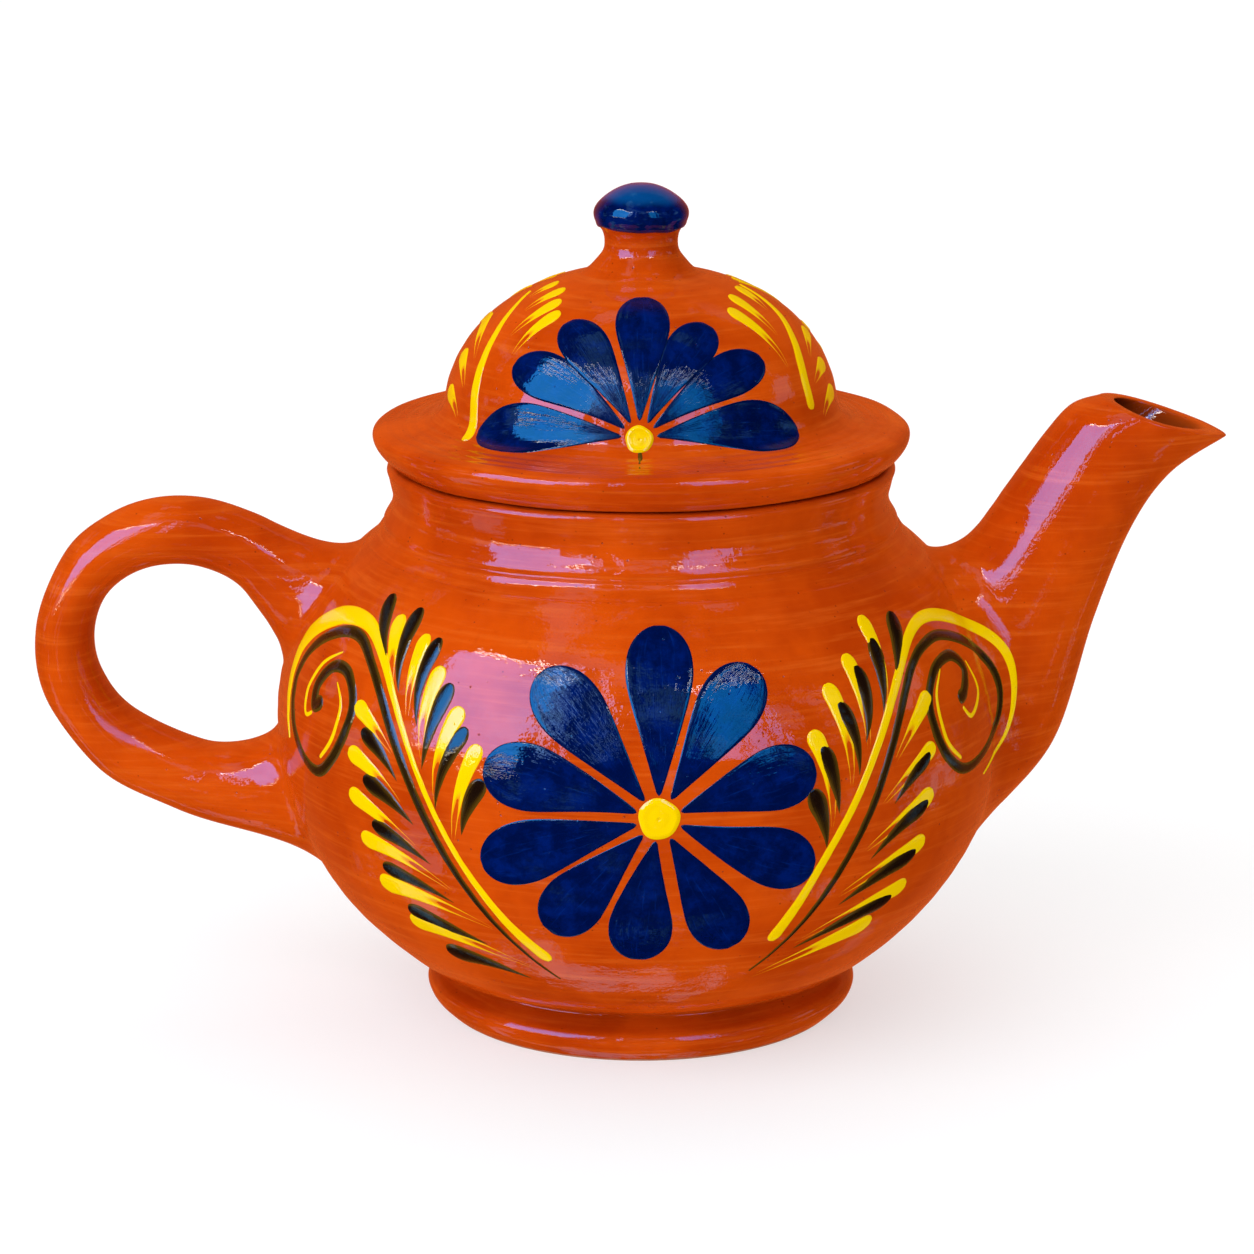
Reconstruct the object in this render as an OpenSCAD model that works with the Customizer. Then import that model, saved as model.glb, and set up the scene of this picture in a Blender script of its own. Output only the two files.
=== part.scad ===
// Lidded earthenware teapot: a thrown belly with neck collar and foot ring,
// a hollow spout, a pulled loop handle, and a domed lid with a locating ring and a knob.
// +Z is up, the spout points along +X, and the origin is the centre of the foot on the table.

/* [Pot] */
// Greatest diameter of the belly
belly_d = 158; // [150:1:166]
// Height of the belly's greatest diameter above the table
belly_z = 66; // [64:1:68]
// Thickness of the thrown clay walls
wall = 5; // [4:0.5:6]
// Inside diameter of the neck
neck_bore_d = 99; // [97:0.5:99.5]
// Height of the rim that the lid rests on
rim_z = 121; // [120:0.5:123]

/* [Foot] */
// Greatest diameter of the foot ring
foot_d = 94; // [92:0.5:97]
// Height of the foot ring, where the belly is luted on
foot_h = 11; // [10.5:0.5:12]
// Diameter of the hollow under the foot
recess_d = 68; // [60:1:72]

/* [Spout] */
// Thickness of the spout's wall
spout_wall = 4; // [3:0.5:4.5]
// Diameter of each strainer hole through the belly wall behind the spout
strainer_d = 4; // [3:0.5:4]
// Number of strainer holes round the middle one
strainer_n = 6; // [4:1:8]

/* [Handle] */
// Width of the handle across its middle
handle_w = 18; // [15:0.5:21]

/* [Lid] */
// Diameter of the lid's brim
brim_d = 115; // [113:0.5:118]
// Depth that the locating ring reaches into the neck
ring_depth = 10; // [6:0.5:12]
// Clearance between the locating ring and the neck, all round
ring_gap = 1.5; // [1:0.25:2]
// Standing gap between the brim and the rim
seat_gap = 0.25; // [0.2:0.05:0.4]
// Greatest diameter of the knob
knob_d = 20.6; // [18:0.2:23]

/* [Hidden] */
belly_r = belly_d / 2;
belly_low = 68.3;      // height of the ellipse quarter under the greatest diameter
belly_high = 56.5;     // height of the ellipse quarter above it
shoulder_z = 104;      // plane where the neck collar is luted on
floor_t = 6;           // thickness of the pot's floor
lute = 0.8;            // depth that the spout and the handle are pressed into the belly
seat_z = rim_z + seat_gap;
ring_wall = 4.5;
ring_r = neck_bore_d / 2 - ring_gap;
dome_r = 42.2;         // dome: superellipse of radius dome_r and height dome_h
dome_h = 33;
dome_power = 2.15;
dome_z = seat_z + 8.75;
dome_cut = 32;         // height of the flat on the dome that carries the knob
knob_z = dome_z + dome_cut;
turned = 120;          // facets of a turned piece
section_n = 32;        // points round a section of the spout or the handle
steps = 4;             // rows between two stations

terracotta = [0.80, 0.33, 0.10];
cobalt = [0.05, 0.12, 0.45];

// Stations of the spout, from the belly to the mouth: upper edge x and z, lower edge x and z,
// half width, pinch of the lip. x is outward from belly_r, z is up from belly_z.
spout_stations = [
    [-18,   36,   -7,   -28,   22,   0],
    [-13,   35.5,  2.5, -20,   19.5, 0],
    [ -7,   39.5, 12,    -5,   16.5, 0],
    [  1,   51,   19,    20,   14.5, 0],
    [  8,   61,   26.5,  40,   13.5, 0],
    [ 13.5, 67,   35,    52.5, 13.8, 0.25],
    [ 19.5, 69,   46.8,  60.5, 14.5, 0.5]];

// Stations of the handle, from its upper root to its lower one: outer edge x and z,
// inner edge x and z, share of the half width. x is outward from belly_r, z is up from belly_z.
handle_stations = [
    [-17,  36.5,  0,    13,   1.5],
    [ -7,  37.5,  1.5,  17.5, 1.25],
    [  4,  43,    7.5,  27,   1.05],
    [ 15,  46.4, 16,    31.6, 1],
    [ 26,  46.4, 24.7,  32,   1],
    [ 36,  42.7, 32,    29.3, 1],
    [ 45.4, 34.6, 37.3, 24,   1],
    [ 52.2, 18.6, 39.7, 16,   1],
    [ 50.6,  2.3, 38.2,  7.8, 1],
    [ 39,  -14,  32.3,  -0.4, 1],
    [ 23,  -22.7, 19,   -7,   1.05],
    [  8.5, -27.8, 9,   -8.9, 1.25],
    [ -5.5, -34,  0.2,  -5,   1.5]];

// Radius of an ellipse's side at height z, for radius r and half height h about centre z0
function side(r, h, z, z0) = r * sqrt(max(0, 1 - pow((z - z0) / h, 2)));

// Radius of the belly at height z, made smaller by inset
function belly_at(z, inset = 0) =
    side(belly_r - inset, (z < belly_z ? belly_low : belly_high) - inset, z, belly_z);

// Radius of the dome at height h above its centre, made smaller by inset
function dome_at(h, inset = 0) = (dome_r - inset)
    * pow(max(0, 1 - pow(h / (dome_h - inset), dome_power)), 1 / dome_power);

// Smooth curve through a list of vectors (Catmull-Rom), with n steps between neighbours
function bend(a, b, c, d, t) =
    (2 * b + (c - a) * t + (2 * a - 5 * b + 4 * c - d) * t * t
     + (3 * b - a - 3 * c + d) * t * t * t) / 2;
function smooth(p, n) = let (m = len(p) - 1) [
    for (i = [0 : m - 1], k = [0 : n - 1])
        bend(p[max(0, i - 1)], p[i], p[i + 1], p[min(m, i + 2)], k / n),
    p[m]];

// A section across a station: an ellipse from the first edge to the second one.
// inset moves it inwards, lip adds to the inset at the second edge, pinch narrows it there.
function section(s, half, pinch = 0, inset = 0, lip = 0) =
    let (a = [s[0], 0, s[1]], b = [s[2], 0, s[3]], across = (b - a) / norm(b - a),
         low = a + across * inset, high = b - across * (inset + lip),
         mid = (low + high) / 2, reach = norm(high - low) / 2)
    [for (k = [0 : section_n - 1]) let (t = 360 * k / section_n)
        [belly_r, 0, belly_z] + mid + across * reach * cos(t)
        + [0, (half - inset) * sin(t) * (1 - pinch * pow((1 + cos(t)) / 2, 2)), 0]];

// The same points moved along x onto the belly, lute deep
function onto_belly(ring) = [for (p = ring)
    [sqrt(pow(belly_at(p[2]) - lute, 2) - p[1] * p[1]), p[1], p[2]]];

// Rows of sections whose first one lies on the belly; the move fades out over reach rows
function rooted(rows, reach) = let (shift = onto_belly(rows[0]) - rows[0])
    [for (i = [0 : len(rows) - 1]) rows[i] + shift * pow(max(0, 1 - i / reach), 2)];

// Triangles between row i and row j of rings of n points
function band(i, j, n) = [for (k = [0 : n - 1]) let (m = (k + 1) % n)
    each [[i * n + k, j * n + k, j * n + m], [i * n + k, j * n + m, i * n + m]]];

module turned_piece(outline) rotate_extrude($fn = turned) polygon(outline);

module pot_body() {
    outer = [for (k = [0 : 24]) let (z = foot_h + 1.5 + (shoulder_z - foot_h - 1.5) * k / 24)
        [belly_at(z), z]];
    inner = [for (k = [20 : -1 : 0]) let (z = foot_h + floor_t
        + (shoulder_z - foot_h - floor_t) * k / 20) [belly_at(z, wall), z]];
    hole_reach = 20;
    hole_z = belly_z + 4;
    hole_circle_r = 10;
    color(terracotta) difference() {
        turned_piece(concat([[0, foot_h], [foot_d / 2 - 4.5, foot_h]], outer, inner,
            [[0, foot_h + floor_t]]));
        for (k = [0 : strainer_n]) {
            turn = 360 * k / strainer_n;
            off = k < strainer_n ? hole_circle_r : 0;
            translate([belly_r - hole_reach, off * cos(turn), hole_z + off * sin(turn)])
                rotate([0, 90, 0]) cylinder(d = strainer_d, h = 2 * hole_reach, $fn = 32);
        }
    }
}

module neck_collar() {
    base_r = belly_at(shoulder_z);
    bore_r = neck_bore_d / 2;
    lip_r = bore_r + wall;
    outside = smooth([
        [base_r, shoulder_z], [base_r - 1.7, shoulder_z + 2], [base_r - 2.4, shoulder_z + 3],
        [base_r - 3.1, shoulder_z + 3.7], [base_r - 3.3, shoulder_z + 5],
        [base_r - 4.3, shoulder_z + 6.7], [lip_r - 1, rim_z - 9], [lip_r - 1.3, rim_z - 6.5],
        [lip_r - 0.5, rim_z - 3], [lip_r, rim_z - 1.2], [lip_r - 1, rim_z]], 3);
    color(terracotta) turned_piece(concat([[bore_r, shoulder_z]], outside,
        [[bore_r + 0.9, rim_z], [bore_r, rim_z - 0.9]]));
}

module foot_ring() {
    r = foot_d / 2;
    outside = smooth([[r - 3.5, 0], [r - 2.2, 1.2], [r - 0.6, 3], [r, 5.2], [r - 1, 6.8],
        [r - 3.2, 7.8], [r - 4.8, 9], [r - 5, 10], [r - 4.5, foot_h]], 3);
    color(terracotta) turned_piece(concat([[recess_d / 2 + 3, 0]], outside,
        [[recess_d / 2 - 1, foot_h], [recess_d / 2, 3]]));
}

module spout() {
    stations = smooth(spout_stations, steps);
    n = len(stations);
    root_reach = 2.5 * steps;
    lip_extra = 3.5;
    outer = rooted([for (s = stations) section(s, s[4], s[5])], root_reach);
    inner = rooted([for (i = [0 : n - 1]) let (s = stations[i])
        section(s, s[4], s[5], spout_wall, lip_extra * s[5] * 2)], root_reach);
    rows = concat(outer, [for (i = [n - 1 : -1 : 0]) inner[i]]);
    color(terracotta) polyhedron(points = [for (ring = rows) each ring],
        faces = [for (i = [0 : 2 * n - 1]) each band(i, (i + 1) % (2 * n), section_n)]);
}

module handle() {
    stations = smooth(handle_stations, steps);
    n = len(stations);
    root_reach = 2.5 * steps;
    plain = [for (s = stations) section(s, handle_w / 2 * s[4])];
    down = rooted(plain, root_reach);
    up = rooted([for (i = [n - 1 : -1 : 0]) plain[i]], root_reach);
    rows = [for (i = [0 : n - 1]) down[i] + up[n - 1 - i] - plain[i]];
    ends = [for (i = [0, n - 1]) onto_belly([[0, 0, belly_z + (stations[i][1] + stations[i][3]) / 2]])[0]];
    last = (n - 1) * section_n;
    count = n * section_n;
    caps = [for (k = [0 : section_n - 1]) let (m = (k + 1) % section_n)
        each [[count, k, m], [count + 1, last + m, last + k]]];
    color(terracotta) mirror([1, 0, 0])
        polyhedron(points = concat([for (ring = rows) each ring], ends),
            faces = concat([for (i = [0 : n - 2]) each band(i, i + 1, section_n)], caps));
}

module lid_dome() {
    r = brim_d / 2;
    brim = smooth([[ring_r + 4.5, seat_z], [r - 3.4, seat_z + 1], [r - 1.7, seat_z + 2.6],
        [r - 0.4, seat_z + 4.6], [r, seat_z + 6.2], [r - 0.6, seat_z + 7.4],
        [r - 2.4, seat_z + 8], [r - 8, seat_z + 8.7], [r - 12, seat_z + 9.6],
        [dome_r + 1, seat_z + 11.2], [dome_at(5), dome_z + 5]], 3);
    outside = [for (k = [1 : 16]) let (h = 5 + (dome_cut - 5) * k / 16) [dome_at(h), dome_z + h]];
    hollow_top = dome_h - wall;
    inside = [for (k = [16 : -1 : 0]) let (h = hollow_top * sin(90 * k / 16))
        [dome_at(h, wall), dome_z + h]];
    color(terracotta) turned_piece(concat(brim, outside, [[0, knob_z]], inside,
        [[ring_r - ring_wall - 2.5, seat_z + 4], [ring_r - ring_wall, seat_z]]));
}

module lid_locating_ring() {
    color(terracotta) turned_piece([
        [ring_r - ring_wall, seat_z], [ring_r - ring_wall, seat_z - ring_depth + 1.5],
        [ring_r - ring_wall + 1.2, seat_z - ring_depth], [ring_r - 1.2, seat_z - ring_depth],
        [ring_r, seat_z - ring_depth + 1.5], [ring_r, seat_z]]);
}

module lid_knob() {
    r = knob_d / 2;
    stem = [[dome_at(dome_cut), knob_z], [r - 0.8, knob_z + 2.2], [r - 1.9, knob_z + 4.6],
        [r - 2.1, knob_z + 6.2], [r - 1.7, knob_z + 8.2]];
    cap = [[r - 0.6, knob_z + 10], [r, knob_z + 12], [r - 0.5, knob_z + 13.8],
        [r - 2.2, knob_z + 15.8], [r - 4.6, knob_z + 17.5], [r - 7.4, knob_z + 18.6],
        [0, knob_z + 19]];
    color(cobalt) turned_piece(concat([[0, knob_z]], smooth(concat(stem, cap), 3)));
}

pot_body();
neck_collar();
foot_ring();
spout();
handle();
lid_dome();
lid_locating_ring();
lid_knob();
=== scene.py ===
import math

import bmesh
import bpy
import numpy as np
from mathutils import Matrix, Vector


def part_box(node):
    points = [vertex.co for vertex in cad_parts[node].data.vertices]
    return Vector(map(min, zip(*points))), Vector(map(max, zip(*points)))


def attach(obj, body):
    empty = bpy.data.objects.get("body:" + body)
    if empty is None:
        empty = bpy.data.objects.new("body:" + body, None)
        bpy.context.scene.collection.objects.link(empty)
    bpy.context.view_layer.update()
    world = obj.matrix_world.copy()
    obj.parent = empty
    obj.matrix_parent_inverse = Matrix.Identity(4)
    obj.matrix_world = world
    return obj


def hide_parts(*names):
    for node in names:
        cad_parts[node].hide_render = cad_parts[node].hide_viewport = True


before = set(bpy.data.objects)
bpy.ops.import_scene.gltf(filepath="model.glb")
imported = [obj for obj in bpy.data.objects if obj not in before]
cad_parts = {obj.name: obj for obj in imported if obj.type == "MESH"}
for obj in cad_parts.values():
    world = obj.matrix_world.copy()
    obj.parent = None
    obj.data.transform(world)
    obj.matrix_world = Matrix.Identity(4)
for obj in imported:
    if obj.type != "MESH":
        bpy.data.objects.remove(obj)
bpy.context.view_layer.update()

# Lengths are in millimetres until a mesh or the camera is made. The lights are placed in metres.
mm = 0.001
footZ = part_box("foot_ring")[1].z / mm
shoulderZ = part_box("neck_collar")[0].z / mm
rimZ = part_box("neck_collar")[1].z / mm
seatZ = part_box("lid_dome")[0].z / mm
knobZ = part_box("lid_knob")[0].z / mm
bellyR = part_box("pot_body")[1].x / mm
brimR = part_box("lid_dome")[1].x / mm
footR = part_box("foot_ring")[1].x / mm
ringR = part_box("lid_locating_ring")[1].x / mm
print("frame loaded: belly radius", round(bellyR, 2), "rim height", round(rimZ, 2))

camera = {"side": -3.0, "distance": 879.3, "height": 310.4, "down": 14.45, "lens": 120}


def addCamera(values):
    data = bpy.data.cameras.new("camera")
    data.lens = values["lens"]
    data.clip_end = 100
    made = bpy.data.objects.new("camera", data)
    made.location = (values["side"] * mm, -values["distance"] * mm, values["height"] * mm)
    made.rotation_euler = (math.radians(90 - values["down"]), 0, 0)
    bpy.context.scene.collection.objects.link(made)
    bpy.context.scene.camera = made


addCamera(camera)


def curveThrough(points, count):
    # Catmull-Rom: every span is a cubic whose end slopes are half the chord between its neighbours
    given = np.asarray(points, float)
    padded = np.vstack([given[:1], given, given[-1:]])
    along = np.linspace(0, len(given) - 1, count)
    first = np.minimum(along.astype(int), len(given) - 2)
    t = (along - first)[:, None]
    a, b, c, d = (padded[first + k] for k in range(4))
    return (2 * b + (c - a) * t + (2 * a - 5 * b + 4 * c - d) * t**2
            + (3 * b - a - 3 * c + d) * t**3) / 2


def unit(vectors):
    return vectors / np.maximum(np.linalg.norm(vectors, axis=-1, keepdims=True), 1e-12)


def smoothStep(low, high, x):
    # 0 below low, 1 above high, and 3t^2 - 2t^3 between
    t = np.clip((x - low) / (high - low), 0, 1)
    return t * t * (3 - 2 * t)


def gridFaces(rows, columns, closedRows, closedColumns):
    # four-sided faces between neighbouring rows and columns of a grid of points
    i = np.arange(rows if closedRows else rows - 1)[:, None]
    k = np.arange(columns if closedColumns else columns - 1)[None, :]
    nextRow = (i + 1) % rows
    nextColumn = (k + 1) % columns
    corners = [i * columns + k, nextRow * columns + k,
               nextRow * columns + nextColumn, i * columns + nextColumn]
    return np.stack(np.broadcast_arrays(*corners), -1).reshape(-1, 4)


def outward(points, faces):
    # a closed surface's signed volume is positive when its faces point out
    a, b, c, d = (points[faces[:, k]] for k in range(4))
    volume = np.sum(a * np.cross(b, c)) + np.sum(a * np.cross(c, d))
    return faces if volume > 0 else faces[:, ::-1]


handWork = {"seed": 11, "waves": 9, "longWave": 70, "shortWave": 18, "depth": 0.06,
            "ripple": 0.03, "rippleWave": 4.6, "rippleFade": 6, "oval": 0.2, "ovalTurn": 0.7,
            "axisFade": (4, 20), "footFade": 3}


def softened(points):
    # the unevenness of hand work: a sum of sine waves through space, ripples up the wall whose
    # phase drifts once round, and a slight oval. Every piece shares it, so joints stay closed.
    draw = np.random.default_rng(handWork["seed"])
    moved = points.copy()
    for length in np.geomspace(handWork["longWave"], handWork["shortWave"], handWork["waves"]):
        across = unit(draw.normal(size=3)) * math.tau / length
        push = unit(draw.normal(size=3)) * handWork["depth"]
        moved += push * np.sin(points @ across + draw.uniform(0, math.tau))[..., None]
    r = np.hypot(points[..., 0], points[..., 1])
    angle = np.arctan2(points[..., 1], points[..., 0])
    ripple = handWork["ripple"] * np.sin(math.tau * points[..., 2] / handWork["rippleWave"] + np.sin(angle))
    oval = handWork["oval"] * np.sin(2 * angle + handWork["ovalTurn"])
    ripple = ripple * (1 - smoothStep(bellyR, bellyR + handWork["rippleFade"], r))
    outwards = (ripple + oval) * smoothStep(*handWork["axisFade"], r)
    moved[..., :2] += (outwards / np.maximum(r, 1e-6))[..., None] * points[..., :2]
    return points + (moved - points) * smoothStep(0, handWork["footFade"], points[..., 2])[..., None]


def addMesh(name, points, faces, body, look, uv=None, marks=None, sharp=40):
    # uv holds one pair for each point, and marks one list of numbers for each attribute
    mesh = bpy.data.meshes.new(name)
    mesh.from_pydata((points * mm).tolist(), [], faces.tolist())
    for mark, values in (marks or {}).items():
        layer = mesh.attributes.new(mark, "FLOAT", "POINT")
        layer.data.foreach_set("value", np.asarray(values, np.float32).ravel())
    if uv is not None:
        corners = np.empty(len(mesh.loops), np.int32)
        mesh.loops.foreach_get("vertex_index", corners)
        layer = mesh.uv_layers.new(name="stroke")
        layer.data.foreach_set("uv", uv[corners].astype(np.float32).ravel())
    work = bmesh.new()
    work.from_mesh(mesh)
    bmesh.ops.remove_doubles(work, verts=work.verts, dist=2e-7)
    bmesh.ops.dissolve_degenerate(work, edges=work.edges, dist=1e-8)
    work.to_mesh(mesh)
    work.free()
    mesh.shade_smooth()
    mesh.set_sharp_from_angle(angle=math.radians(sharp))
    mesh.materials.append(look)
    made = bpy.data.objects.new(name, mesh)
    bpy.context.scene.collection.objects.link(made)
    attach(made, body)
    return made


class Wire:
    # one socket of a shader's nodes: arithmetic on it adds Math nodes, and make adds any other node
    def __init__(self, tree, socket=None):
        self.tree = tree
        self.socket = socket

    def make(self, kind, settings=None, inputs=None, output=0):
        node = self.tree.nodes.new("ShaderNode" + kind)
        for name, value in (settings or {}).items():
            setattr(node, name, value)
        for name, value in (inputs or {}).items():
            if isinstance(value, Wire):
                self.tree.links.new(value.socket, node.inputs[name])
            else:
                node.inputs[name].default_value = value
        return Wire(self.tree, node.outputs[output] if len(node.outputs) else None)

    def maths(self, operation, *values):
        return self.make("Math", {"operation": operation}, dict(enumerate(values)))

    def __add__(self, other):
        return self.maths("ADD", self, other)

    def __radd__(self, other):
        return self.maths("ADD", other, self)

    def __sub__(self, other):
        return self.maths("SUBTRACT", self, other)

    def __rsub__(self, other):
        return self.maths("SUBTRACT", other, self)

    def __mul__(self, other):
        return self.maths("MULTIPLY", self, other)

    def __rmul__(self, other):
        return self.maths("MULTIPLY", other, self)

    def between(self, low, high):
        # 0 below low, 1 above high, smooth between them
        return self.make("MapRange", {"interpolation_type": "SMOOTHSTEP"},
                         {"Value": self, "From Min": low, "From Max": high})

    def noise(self, size, detail=2.0, rough=0.5, stretch=(1, 1, 1)):
        # a noise whose features are size millimetres wide, seen through stretched places
        places = self.make("VectorMath", {"operation": "MULTIPLY"},
                           {0: self, 1: tuple(s / size for s in stretch)})
        return self.make("TexNoise", {}, {"Vector": places, "Scale": 1.0, "Detail": detail,
                                          "Roughness": rough})

    def blend(self, first, second):
        # self mixes two colours: 0 gives the first one and 1 the second
        return self.make("Mix", {"data_type": "RGBA"}, {0: self, 6: first, 7: second}, output=2)


def colour(red, green, blue):
    return (red, green, blue, 1.0)


glaze = {"rough": 0.03, "roughMore": 0.045, "peel": 0.012, "peelSize": 1.8, "wave": 0.07, "waveSize": 8,
         "brush": 0.005, "brushSize": 1.2, "pit": 0.07, "pitSize": 2.8, "pitPatch": 9, "pitRough": 0.2,
         "roughPatch": 14}


def glazeSurface(places, extra=0.0):
    # the glossy coat shared by clay and paint: soft waves, orange peel, turning marks and pits,
    # all as heights in millimetres that a Bump node reads
    waves = (places.noise(glaze["waveSize"], 4, 0.62, (1, 1, 1.5)) - 0.5) * (2 * glaze["wave"])
    peel = (places.noise(glaze["peelSize"], 2, 0.6) - 0.5) * (2 * glaze["peel"])
    brush = (places.noise(glaze["brushSize"], 2, 0.6, (0.05, 0.05, 1)) - 0.5) * (2 * glaze["brush"])
    spots = places.make("TexVoronoi", {}, {"Vector": places, "Scale": 1 / glaze["pitSize"]})
    chosen = places.noise(glaze["pitPatch"], 1).between(0.52, 0.57)
    pits = (1 - spots.between(0.03, 0.11)) * chosen
    height = waves + peel + brush + extra - pits * glaze["pit"]
    normal = places.make("Bump", {}, {"Height": height, "Distance": mm, "Strength": 1.0})
    duller = places.noise(glaze["roughPatch"], 3).between(0.35, 0.75)
    rough = glaze["rough"] + duller * glaze["roughMore"] + pits * glaze["pitRough"]
    return normal, rough, pits


def newLook(name):
    look = bpy.data.materials.new(name)
    look.use_nodes = True
    tree = look.node_tree
    tree.nodes.clear()
    start = Wire(tree)
    place = start.make("TexCoord", output=3)
    places = place.make("VectorMath", {"operation": "SCALE"}, {0: place, "Scale": 1 / mm})
    return look, start, places


def finishLook(start, base, rough, normal):
    shaded = start.make("BsdfPrincipled", {}, {
        "Base Color": base, "Roughness": rough, "Normal": normal, "IOR": 1.5, "Specular IOR Level": 0.5})
    start.make("OutputMaterial", {}, {"Surface": shaded})


clay = {"deep": colour(0.47, 0.042, 0.001), "plain": colour(0.65, 0.075, 0.002),
        "pale": colour(0.76, 0.135, 0.012), "dark": colour(0.12, 0.016, 0.002),
        "bare": colour(0.50, 0.17, 0.07), "cloud": 26, "streak": 1.4, "streakMix": 0.5, "mottle": 5,
        "mottleMix": 0.45, "speck": 2.1, "speckPatch": 6, "speckMix": 0.6, "pitMix": 0.7, "insideShadeMix": 0.85,
        "bareWander": 0.8, "bareRough": 0.6}


def terracottaLook():
    look, start, places = newLook("glazed_terracotta")
    height = places.make("SeparateXYZ", {}, {"Vector": places}, 2)
    clouds = places.noise(clay["cloud"], 4, 0.6).between(0.3, 0.7)
    base = clouds.blend(clay["deep"], clay["plain"])
    streaks = places.noise(clay["streak"], 3, 0.7, (0.04, 0.04, 1)).between(0.45, 0.8)
    base = (streaks * clay["streakMix"]).blend(base, clay["pale"])
    mottle = places.noise(clay["mottle"], 3, 0.7).between(0.55, 0.85)
    base = (mottle * clay["mottleMix"]).blend(base, clay["deep"])
    spots = places.make("TexVoronoi", {}, {"Vector": places, "Scale": 1 / clay["speck"]})
    specks = (1 - spots.between(0.05, 0.13)) * places.noise(clay["speckPatch"], 1).between(0.55, 0.6)
    base = (specks * clay["speckMix"]).blend(base, clay["dark"])
    normal, rough, pits = glazeSurface(places)
    base = (pits * clay["pitMix"]).blend(base, clay["dark"])
    bareFoot = 1 - (height + (places.noise(3, 2) - 0.5) * clay["bareWander"]).between(0.35, 0.75)
    base = bareFoot.blend(base, clay["bare"])
    # painted shade: the mark "inside" darkens the spout's bore towards clay dark, standing in for the shade
    # deep inside it
    inside = start.make("Attribute", {"attribute_name": "inside"}, output=2)
    base = (inside * clay["insideShadeMix"]).blend(base, clay["dark"])
    finishLook(start, base, rough + bareFoot * clay["bareRough"], normal)
    return look


cobalt = {"thin": colour(0.001, 0.055, 0.22), "plain": colour(0.0, 0.009, 0.115),
          "dark": colour(0.0, 0.004, 0.05), "light": colour(0.001, 0.025, 0.22),
          "line": colour(0.001, 0.002, 0.012)}
yellow = {"thick": colour(0.93, 0.62, 0.0), "thin": colour(0.80, 0.26, 0.004)}
brown = {"thick": colour(0.010, 0.004, 0.002), "thin": colour(0.10, 0.05, 0.004)}


def paintLook(name, makeBase, ridge):
    # paint under the same glossy coat. The stroke UV runs along (in centimetres) and across (-1 to 1),
    # and the mark "edge" is the distance to the stroke's outline in millimetres.
    look, start, places = newLook(name)
    stroke = start.make("UVMap", {"uv_map": "stroke"})
    edge = start.make("Attribute", {"attribute_name": "edge"}, output=2)
    thick = start.make("Attribute", {"attribute_name": "thick"}, output=2)
    stretched = stroke.make("VectorMath", {"operation": "MULTIPLY"}, {0: stroke, 1: (1.2, 7.0, 1)})
    hairs = stroke.make("TexNoise", {}, {"Vector": stretched, "Scale": 1.0, "Detail": 3.0, "Roughness": 0.6})
    base = makeBase(places, edge, thick, hairs)
    normal, rough = glazeSurface(places, (hairs - 0.5) * ridge)[:2]
    finishLook(start, base, rough, normal)
    return look


def cobaltBase(places, edge, thick, hairs):
    blots = places.noise(4.5, 4, 0.7)
    base = blots.between(0.38, 0.68).blend(cobalt["dark"], cobalt["plain"])
    base = (hairs.between(0.55, 0.8) * 0.55).blend(base, cobalt["light"])
    # thin paint turns lighter blue. On the knob cap, whose skin thins towards the top, this is partly real
    # thin glaze and partly painted light: the lighter top stands in for the light from above
    base = (1 - thick.between(0.03, 0.11)).blend(base, cobalt["thin"])
    base = ((1 - edge.between(0.5, 2.4)) * 0.55).blend(base, cobalt["dark"])
    return ((1 - edge.between(0.1, 0.4)) * 0.6).blend(base, cobalt["line"])


def yellowBase(places, edge, thick, hairs):
    thin = 1 - (thick + (hairs - 0.5) * 0.09).between(0.01, 0.09)
    return thin.blend(yellow["thick"], yellow["thin"])


def brownBase(places, edge, thick, hairs):
    thin = 1 - (thick + (hairs - 0.5) * 0.1).between(0.11, 0.23)
    return thin.blend(brown["thick"], brown["thin"])


terracotta = terracottaLook()
cobaltPaint = paintLook("cobalt_glaze", cobaltBase, 0.06)
yellowPaint = paintLook("yellow_slip", yellowBase, 0.03)
brownPaint = paintLook("brown_slip", brownBase, 0.02)
print("materials made")


belly = {"greatestZ": 66, "lowHalf": 68.3, "highHalf": 56.5, "wall": 5, "floor": 6,
         "rows": 100, "innerRows": 44, "segments": 384, "strainers": 6, "strainerD": 4, "strainerCircleR": 10,
         "strainerZ": 70, "pinSides": 24, "pinLength": 24}


def bellyRadius(z, inset=0.0):
    # two quarter ellipses that share their greatest radius
    half = np.where(z < belly["greatestZ"], belly["lowHalf"], belly["highHalf"]) - inset
    return (bellyR - inset) * np.sqrt(np.maximum(0, 1 - ((z - belly["greatestZ"]) / half) ** 2))


def turnedGrid(outline, segments):
    # a point is (r cos a, r sin a, z), with r and z from the outline and a once round
    angle = np.linspace(0, math.tau, segments, endpoint=False)[None, :]
    r, z = outline[:, :1], outline[:, 1:]
    return np.stack([r * np.cos(angle), r * np.sin(angle), z + 0 * angle], -1)


def stepsFrom(points, r=0.0, z=0.0):
    # an outline's points, given as steps from a radius and a height
    return np.array(points, float) + (r, z)


def turnedPiece(name, outline, body, segments):
    grid = turnedGrid(np.asarray(outline, float), segments)
    points = softened(grid.reshape(-1, 3))
    faces = outward(points, gridFaces(len(grid), segments, True, True))
    return addMesh(name, points, faces, body, terracotta)


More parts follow.
